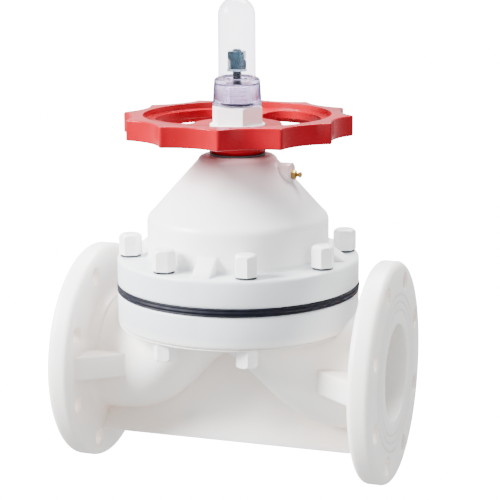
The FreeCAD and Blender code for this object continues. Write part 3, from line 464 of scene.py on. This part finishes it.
# Under the seat's edge runs a thin lip, where the mould's halves meet. It is the body's own
# plastic, left standing a millimetre or two proud with a fine groove over it.
seat_depth = 0.0326
seat_foot = seat - seat_depth
lip_inside = 0.1205
lip = turned("seat_lip", [
    (lip_inside, seat_foot + 0.0004), (lip_inside, seat_foot - 0.0014),
    (0.1212, seat_foot - 0.0020), (0.1245, seat_foot - 0.0020), (0.1251, seat_foot - 0.0015),
    (0.1250, seat_foot - 0.0009), (0.1228, seat_foot - 0.0007), (0.1222, seat_foot + 0.0004),
    (lip_inside, seat_foot + 0.0004)], steps=160, angle=50.0)
wear(lip, body_plastic, "valve", "body_plastic")

# The bonnet is a second moulding, a dome with a bolting rim and a narrow neck. It is the same
# plastic with less warmth in it. Light and shade are painted on it: painted shade under the
# wheel, painted light on the low part of the dome, painted red bounce light with painted shade
# at the neck, and a painted darker, cooler shade on the bolting rim.
bonnet_plastic = milky("natural_bonnet_plastic", (0.87, 0.855, 0.86), (0.83, 0.815, 0.825),
                       0.006, 0.004)
bonnet_tree = bonnet_plastic.node_tree
bonnet_shader = bonnet_tree.nodes["Principled BSDF"]
bonnet_low, bonnet_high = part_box("bonnet")
painted_lower_dome_light = (0.960, 0.950, 0.955)
painted_shade_under_wheel = (0.70, 0.63, 0.645)
painted_red_bounce_light = (0.50, 0.27, 0.29)
painted_cool_bonnet_rim_shade = (0.68, 0.72, 0.755)
# Painted shade under the wheel, deepest where a place lies most closed in under it.
under_wheel_shade_mask = recess_shade_mask(bonnet_tree, 0.11, 0.1, 0.9, alone=False)
tint(bonnet_tree, bonnet_shader, under_wheel_shade_mask, painted_shade_under_wheel)
# Painted light: the low part of the dome is made whiter than the rest.
lower_dome_light_mask = by_height(bonnet_tree, bonnet_low.z + 0.065, bonnet_low.z + 0.100, 1.0, 0.0)
tint(bonnet_tree, bonnet_shader, lower_dome_light_mask, painted_lower_dome_light)
# Painted red bounce light from the wheel with painted shade: the neck darkens and turns pink
# towards its top.
neck_bounce_mask = by_height(bonnet_tree, bonnet_high.z - 0.045, bonnet_high.z - 0.004)
tint(bonnet_tree, bonnet_shader, times(bonnet_tree, neck_bounce_mask, neck_bounce_mask), painted_red_bounce_light)
# Painted shade: a darker, cooler tone on the bolting rim.
bonnet_rim_shade_mask = by_height(bonnet_tree, bonnet_low.z + 0.026, bonnet_low.z + 0.034, 1.0, 0.0)
tint(bonnet_tree, bonnet_shader, bonnet_rim_shade_mask, painted_cool_bonnet_rim_shade)
dress("bonnet", bonnet_plastic)

# Bolts, studs and nuts of the joint are zinc plated and blue passivated, and hide under caps.
# The washers are steel in a very dark colour, and show as a thin dark edge under each cap.
zinc, zinc_shader, zinc_tree = finish("blue_zinc", (0.52, 0.58, 0.66), 0.32)
zinc_shader.inputs["Metallic"].default_value = 1.0
zinc_patches = grain(zinc_tree, 240.0, 3.0)
blend_colours(zinc_tree, zinc_patches, (0.10, 0.14, 0.18), (0.20, 0.25, 0.30),
              zinc_shader.inputs["Base Color"])
vary_gloss(zinc_tree, zinc_shader, zinc_patches, 0.16, 0.30)
roughen(zinc_tree, zinc_shader, [(grain(zinc_tree, 900.0, 2.0), 0.15, 0.0001)])
for node in ("through_bolts", "short_studs", "top_nuts"):
    dress(node, zinc)
dull_steel, dull_shader, dull_tree = finish("dull_washer_steel", (0.06, 0.065, 0.07), 0.45)
dull_shader.inputs["Metallic"].default_value = 1.0
dull_patches = grain(dull_tree, 300.0, 3.0)
blend_colours(dull_tree, dull_patches, (0.035, 0.04, 0.045), (0.09, 0.095, 0.105),
              dull_shader.inputs["Base Color"])
vary_gloss(dull_tree, dull_shader, dull_patches, 0.35, 0.55)
roughen(dull_tree, dull_shader, [(dull_patches, 0.15, 0.0001)])
for node in ("top_washers", "bottom_washers"):
    dress(node, dull_steel)

# Press-on caps of white polyethylene cover every nut and bolt head, hexagonal with a domed
# crown and a slightly glossy, bluish white skin.
cap_white, cap_shader, cap_tree = finish("cap_white", (0.90, 0.905, 0.91), 0.26)
cap_shader.inputs["Subsurface Weight"].default_value = 0.3
cap_shader.inputs["Subsurface Radius"].default_value = (1.0, 0.9, 0.8)
cap_shader.inputs["Subsurface Scale"].default_value = 0.002
cap_clouds = grain(cap_tree, 60.0, 2.0)
blend_colours(cap_tree, cap_clouds, (0.91, 0.915, 0.925), (0.95, 0.955, 0.96),
              cap_shader.inputs["Base Color"])
vary_gloss(cap_tree, cap_shader, cap_clouds, 0.2, 0.32)
roughen(cap_tree, cap_shader, [(grain(cap_tree, 1100.0, 2.0), 0.15, 0.00005)])
for node in ("top_caps", "bottom_caps", "hub_nut"):
    dress(node, cap_white)

# The grease nipple on the neck is turned brass with a hexagon and a ball-shaped head.
dress("grease_nipple", brass_turned)

# The two thrust rings are black acetal, one on the sleeve's flange inside the neck and one
# between neck and wheel. The seal rings in neck and cover are the diaphragm's rubber.
acetal, acetal_shader, acetal_tree = finish("black_acetal", (0.03, 0.03, 0.032), 0.4)
roughen(acetal_tree, acetal_shader, [(grain(acetal_tree, 700.0, 2.0), 0.2, 0.0001)])
for node in ("lower_thrust_ring", "upper_thrust_washer"):
    dress(node, acetal)
for node in ("neck_ring", "cover_ring"):
    dress(node, rubber)

# The handwheel is injection moulded in glossy red plastic, with pointed grip lobes. The skin
# has a very slight orange peel and picks up the studio's soft boxes.
wheel_red, red_shader, red_tree = finish("glossy_red", (0.80, 0.012, 0.028), 0.16)
red_clouds = grain(red_tree, 30.0, 3.0)
blend_colours(red_tree, red_clouds, (0.27, 0.0, 0.0060), (0.33, 0.0, 0.0090),
              red_shader.inputs["Base Color"])
red_shader.inputs["Specular IOR Level"].default_value = 0.12
vary_gloss(red_tree, red_shader, red_clouds, 0.14, 0.22)
roughen(red_tree, red_shader, [(grain(red_tree, 160.0, 2.0), 0.12, 0.0002)],
        soften(red_tree, 0.0008))
dress("handwheel", wheel_red)

# The stem is turned stainless bar with the drive thread cut on it. The sleeve that it screws
# through, the pin and the diaphragm's stud are the same bright steel.
bright_steel, steel_shader, steel_tree = finish("bright_steel", (0.72, 0.71, 0.70), 0.25)
steel_shader.inputs["Metallic"].default_value = 1.0
steel_rings = grain(steel_tree, 260.0, 1.0, (0.2, 0.2, 8.0))
blend_colours(steel_tree, steel_rings, (0.74, 0.72, 0.76), (0.94, 0.91, 0.96),
              steel_shader.inputs["Base Color"])
vary_gloss(steel_tree, steel_shader, steel_rings, 0.18, 0.32)
roughen(steel_tree, steel_shader, [(steel_rings, 0.15, 0.0001)])
for node in ("compressor_pin", "diaphragm_stud"):
    dress(node, bright_steel)


def threaded(name, crest_radius, root_radius, pitch, low, high, flat=0.15, left_hand=False):
    """A screw thread's ridge round the stem's line, let a little way into the core it is on.

    Its crest, with a flat that is a share of the pitch, stands about half way up each turn.
    """
    inside = root_radius - 0.0002
    turns = int((high - low) / pitch) - 1
    crest_place = 0.48
    ridge = [(inside, low), (root_radius, low + pitch * 0.02),
             (crest_radius, low + pitch * (crest_place - flat / 2)),
             (crest_radius, low + pitch * (crest_place + flat / 2)),
             (root_radius, low + pitch * 0.94), (inside, low + pitch * 0.96), (inside, low)]
    piece = drawn_line(name, ridge)
    bpy.ops.object.mode_set(mode="EDIT")
    bpy.ops.mesh.select_all(action="SELECT")
    bpy.ops.mesh.remove_doubles(threshold=0.000002)
    bpy.ops.transform.translate(value=(-axis_x, 0.0, 0.0))
    bpy.ops.object.mode_set(mode="OBJECT")
    winding = piece.modifiers.new("winding", "SCREW")
    winding.axis = "Z"
    winding.angle = -2 * math.pi if left_hand else 2 * math.pi
    winding.screw_offset = pitch
    winding.iterations = turns
    winding.steps = 40
    winding.render_steps = 40
    bpy.ops.object.modifier_apply(modifier="winding")
    bpy.ops.object.mode_set(mode="EDIT")
    bpy.ops.mesh.select_all(action="SELECT")
    bpy.ops.mesh.fill_holes(sides=0)
    bpy.ops.mesh.select_all(action="SELECT")
    bpy.ops.transform.translate(value=(axis_x, 0.0, 0.0))
    bpy.ops.object.mode_set(mode="OBJECT")
    return close_shape(piece, 40.0)


stem_low, stem_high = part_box("stem")
stem_radius = (stem_high.x - stem_low.x) / 2
thread_foot = stem_high.z - 0.095
stem_core = stem_radius - 0.0028
stem_lead = 0.005
shank = turned("stem_shank", [
    (0.0, stem_low.z), (stem_radius - 0.001, stem_low.z), (stem_radius, stem_low.z + 0.001),
    (stem_radius, thread_foot - 0.004), (stem_core, thread_foot),
    (stem_core, stem_high.z - 0.0012), (stem_radius - 0.0040, stem_high.z),
    (0.0, stem_high.z)], steps=64)
wear(shank, bright_steel, "stem", "stem_steel", "stem")
drive_thread = threaded("stem_thread", stem_radius, stem_radius - 0.0027, stem_lead, thread_foot,
                        stem_high.z - 0.0008, flat=0.34, left_hand=True)
wear(drive_thread, bright_steel, "stem", "stem_steel")

# The sleeve is one turned bush: a thrust flange held under the neck's roof, a journal, flats
# that drive the wheel, and a thread for the locking nut and the clear cover.
sleeve_low, sleeve_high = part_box("sleeve")
flange_radius = (sleeve_high.x - sleeve_low.x) / 2
flange_top = sleeve_low.z + 0.0085
nut_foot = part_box("hub_nut")[0].z
wheel_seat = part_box("upper_thrust_washer")[1].z
bore = stem_radius + 0.0001
journal = 0.020
drive = 0.0155
thread_core = 0.0143
bush = turned("sleeve_bush", [
    (bore, sleeve_low.z), (flange_radius - 0.001, sleeve_low.z),
    (flange_radius, sleeve_low.z + 0.001), (flange_radius, flange_top),
    (journal, flange_top), (journal, wheel_seat), (drive, wheel_seat + 0.0003),
    (drive, nut_foot - 0.0005), (thread_core, nut_foot), (thread_core, sleeve_high.z - 0.0006),
    (thread_core - 0.0006, sleeve_high.z), (bore, sleeve_high.z), (bore, sleeve_low.z)], steps=72)
wear(bush, bright_steel, "handwheel", "sleeve_steel", "sleeve")
cover_thread = threaded("sleeve_thread", 0.01495, thread_core - 0.0001, 0.002, nut_foot,
                        sleeve_high.z - 0.0004)
wear(cover_thread, bright_steel, "handwheel", "sleeve_steel")

# The compressor is cast iron, coated dark grey, and pushes the diaphragm on to the weir.
iron, iron_shader, iron_tree = finish("coated_iron", (0.10, 0.105, 0.115), 0.6)
iron_skin = grain(iron_tree, 220.0, 5.0)
blend_colours(iron_tree, iron_skin, (0.07, 0.075, 0.085), (0.14, 0.145, 0.155),
              iron_shader.inputs["Base Color"])
roughen(iron_tree, iron_shader, [(iron_skin, 0.5, 0.0004)])
dress("compressor", iron)

# The travel stop is a zinc-plated stud screwed into the stem, with a washer and two nuts
# locked against each other, which meet the sleeve's top when the valve is shut.
dark_zinc, dark_shader, dark_tree = finish("dark_blue_zinc", (0.05, 0.12, 0.15), 0.22)
dark_shader.inputs["Metallic"].default_value = 1.0
dark_patches = grain(dark_tree, 260.0, 3.0)
blend_colours(dark_tree, dark_patches, (0.003, 0.012, 0.018), (0.014, 0.034, 0.045),
              dark_shader.inputs["Base Color"])
vary_gloss(dark_tree, dark_shader, dark_patches, 0.14, 0.28)
roughen(dark_tree, dark_shader, [(grain(dark_tree, 900.0, 2.0), 0.12, 0.0001)],
        soften(dark_tree, 0.0006))
dress("stopper_nuts", dark_zinc)
dress("stopper_washer", zinc)
stud_low, stud_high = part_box("stopper_stud")
stud_root = 0.0041
stud_crest = 0.005
stud_core = turned("stopper_stud_core", [
    (0.0, stud_low.z), (stud_root, stud_low.z), (stud_root + 0.0001, stud_high.z - 0.0006),
    (stud_root - 0.0005, stud_high.z), (0.0, stud_high.z)], steps=40)
wear(stud_core, dark_zinc, "stem", "zinc_steel", "stopper_stud")
stud_thread = threaded("stopper_stud_thread", stud_crest, stud_root, 0.0015,
                       stud_low.z + 0.0002, stud_high.z - 0.0004)
wear(stud_thread, dark_zinc, "stem", "zinc_steel")

# The indicator's cover is moulded in clear plastic. Its thick collar has a lilac tint in the
# depth of the wall and upright flow lines, and its thin tube is almost colourless.
clear, clear_shader, clear_tree = finish("clear_cover_plastic", (0.98, 0.98, 0.985), 0.03)
clear_shader.inputs["Transmission Weight"].default_value = 1.0
clear_shader.inputs["IOR"].default_value = 1.46
clear_shader.inputs["Specular Tint"].default_value = (0.30, 0.30, 0.34, 1.0)
cover_low, cover_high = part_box("gauge_cover")
collar_top = sleeve_high.z + 0.0065
blend_colours(clear_tree, grain(clear_tree, 20.0, 1.0), (0.972, 0.972, 0.978),
              (0.985, 0.985, 0.990), clear_shader.inputs["Base Color"])
lilac = (0.83, 0.76, 0.87)
flow_lines = clear_tree.nodes.new("ShaderNodeMapRange")
flow_lines.inputs["From Min"].default_value = 0.42
flow_lines.inputs["From Max"].default_value = 0.60
clear_tree.links.new(grain(clear_tree, 380.0, 1.0, (1.0, 1.0, 0.04)), flow_lines.inputs["Value"])
tint(clear_tree, clear_shader,
     times(clear_tree, by_height(clear_tree, collar_top, collar_top + 0.002, 1.0, 0.0),
           flow_lines.outputs["Result"]), lilac)
depth_tint = clear_tree.nodes.new("ShaderNodeVolumeAbsorption")
depth_tint.inputs["Color"].default_value = (0.80, 0.775, 0.87, 1.0)
depth_tint.inputs["Density"].default_value = 180.0
clear_tree.links.new(depth_tint.outputs["Volume"],
                     clear_tree.nodes["Material Output"].inputs["Volume"])
clear_tree.links.new(by_height(clear_tree, collar_top, collar_top + 0.002, 0.24, 0.02),
                     clear_shader.inputs["Roughness"])
roughen(clear_tree, clear_shader, [(grain(clear_tree, 90.0, 3.0), 0.05, 0.0001)])
cover_radius = 0.0192
tube_wall = 0.0024
collar_radius = (cover_high.x - cover_low.x) / 2
ring_room = 0.0186
ring_room_top = cover_low.z + 0.0034
over_thread = 0.0153
crown = cover_high.z - cover_radius


def dome_arc(radius, first, last, places=12):
    """Points on the tube's round end, from one angle to another."""
    angles = [math.radians(first + (last - first) * place / places)
              for place in range(places + 1)]
    return [(radius * math.cos(angle), crown + radius * math.sin(angle)) for angle in angles]


cover = turned("clear_cover", [
    (ring_room, cover_low.z), (collar_radius - 0.0006, cover_low.z),
    (collar_radius, cover_low.z + 0.0008), (collar_radius - 0.0002, cover_low.z + 0.0035),
    (collar_radius - 0.0016, collar_top - 0.0040), (collar_radius - 0.0020, collar_top - 0.0016),
    (collar_radius - 0.0034, collar_top), (cover_radius + 0.0009, collar_top + 0.0004),
    (cover_radius, collar_top + 0.0018)] + dome_arc(cover_radius, 0, 90)[:-1] +
    [(0.0, cover_high.z), (0.0, cover_high.z - tube_wall)] +
    dome_arc(cover_radius - tube_wall, 90, 0)[1:] +
    [(cover_radius - tube_wall, sleeve_high.z + 0.001), (over_thread, sleeve_high.z - 0.001),
     (over_thread, ring_room_top), (ring_room, ring_room_top), (ring_room, cover_low.z)],
    steps=120)

# Every second column of the collar's wall is drawn in a little, which leaves upright grip ribs.
column_angle = math.radians(3.0)
groove_scale = 0.978
bpy.ops.object.select_all(action="DESELECT")
cover.select_set(True)
bpy.context.view_layer.objects.active = cover
bpy.ops.object.mode_set(mode="EDIT")
bpy.ops.mesh.select_all(action="DESELECT")
bpy.ops.object.mode_set(mode="OBJECT")
for point in cover.data.vertices:
    reach = math.hypot(point.co.x - axis_x, point.co.y)
    column = round(math.atan2(point.co.y, point.co.x - axis_x) / column_angle)
    on_grip = cover_low.z + 0.003 < point.co.z < collar_top - 0.003
    point.select = on_grip and reach > collar_radius - 0.003 and column % 2 == 0
bpy.ops.object.mode_set(mode="EDIT")
bpy.ops.transform.resize(value=(groove_scale, groove_scale, 1.0),
                         center_override=(axis_x, 0.0, 0.0))
bpy.ops.object.mode_set(mode="OBJECT")
bpy.ops.object.shade_smooth_by_angle(angle=math.radians(28.0))
wear(cover, clear, "handwheel", "clear_plastic", "gauge_cover")
